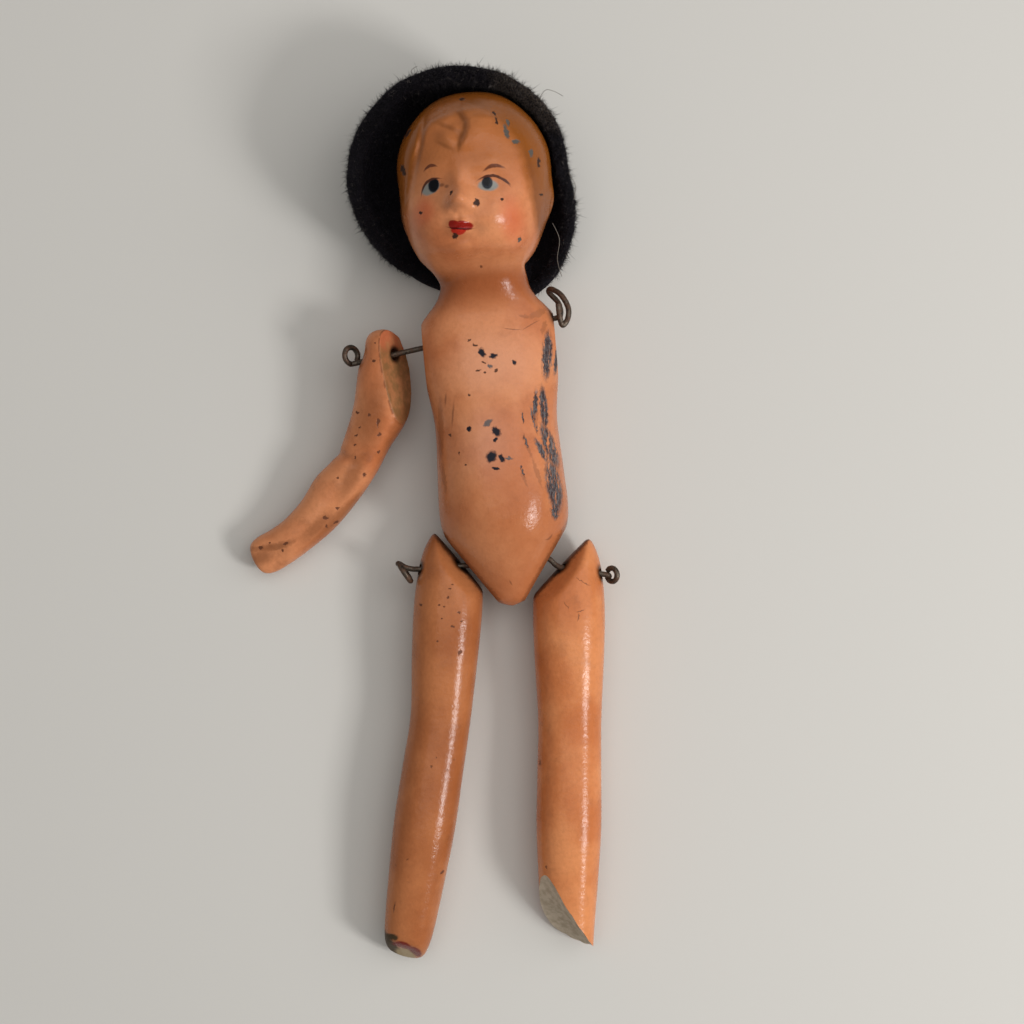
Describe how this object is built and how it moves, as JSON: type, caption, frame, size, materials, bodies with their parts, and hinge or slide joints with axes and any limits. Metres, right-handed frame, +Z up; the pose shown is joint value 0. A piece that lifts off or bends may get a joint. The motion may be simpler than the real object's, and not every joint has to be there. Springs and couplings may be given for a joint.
{
  "type": "wire-jointed bisque doll",
  "caption": "Small painted bisque doll lying on its back in a felt hat: head and torso in one casting, swinging arm and legs strung on wires, one arm lost and the feet broken off.",
  "frame": {"origin": "centre of the bounding box at floor level, as the doll lies on its back", "axes": "+X to the viewer's right, which is the doll's left; +Y from the feet to the crown; +Z up from the floor, out of the chest"},
  "size_m": [0.0466, 0.1116, 0.0228],
  "materials": {
    "bisque": "glossy flesh paint, chipped and crazed",
    "wire": "dull brown soft iron wire",
    "felt": "fuzzy blue-black wool felt"
  },
  "bodies": {
    "torso": {"head_torso": "bisque", "hip_wire": "wire"},
    "shoulder_wire": {"shoulder_wire": "wire"},
    "right_arm": {"right_arm": "bisque"},
    "right_leg": {"right_leg": "bisque"},
    "left_leg": {"left_leg": "bisque"},
    "hat": {"felt_hat": "felt"}
  },
  "joints": [
    {"name": "shoulder_wire_slide", "type": "slide", "parent": "torso", "child": "shoulder_wire", "axis": [0.9864, 0.1233, 0.1085], "range_m": [0, 0.0018]},
    {"name": "right_arm_swing", "type": "hinge", "parent": "shoulder_wire", "child": "right_arm", "pos_m": [-0.00249, 0.02184, 0.00669], "axis": [-0.9864, -0.1233, -0.1085], "range_deg": [-45, 135]},
    {"name": "right_leg_swing", "type": "hinge", "parent": "torso", "child": "right_leg", "pos_m": [0.00362, -0.0054, 0.0053], "axis": [-1, 0, 0], "range_deg": [-30, 50]},
    {"name": "left_leg_swing", "type": "hinge", "parent": "torso", "child": "left_leg", "pos_m": [0.01585, -0.00675, 0.0053], "axis": [-0.9736, 0.2283, 0], "range_deg": [-50, 85]},
    {"name": "hat_pull_off", "type": "slide", "parent": "torso", "child": "hat", "axis": [0, 1, 0], "range_m": [0, 0.028]}
  ]
}
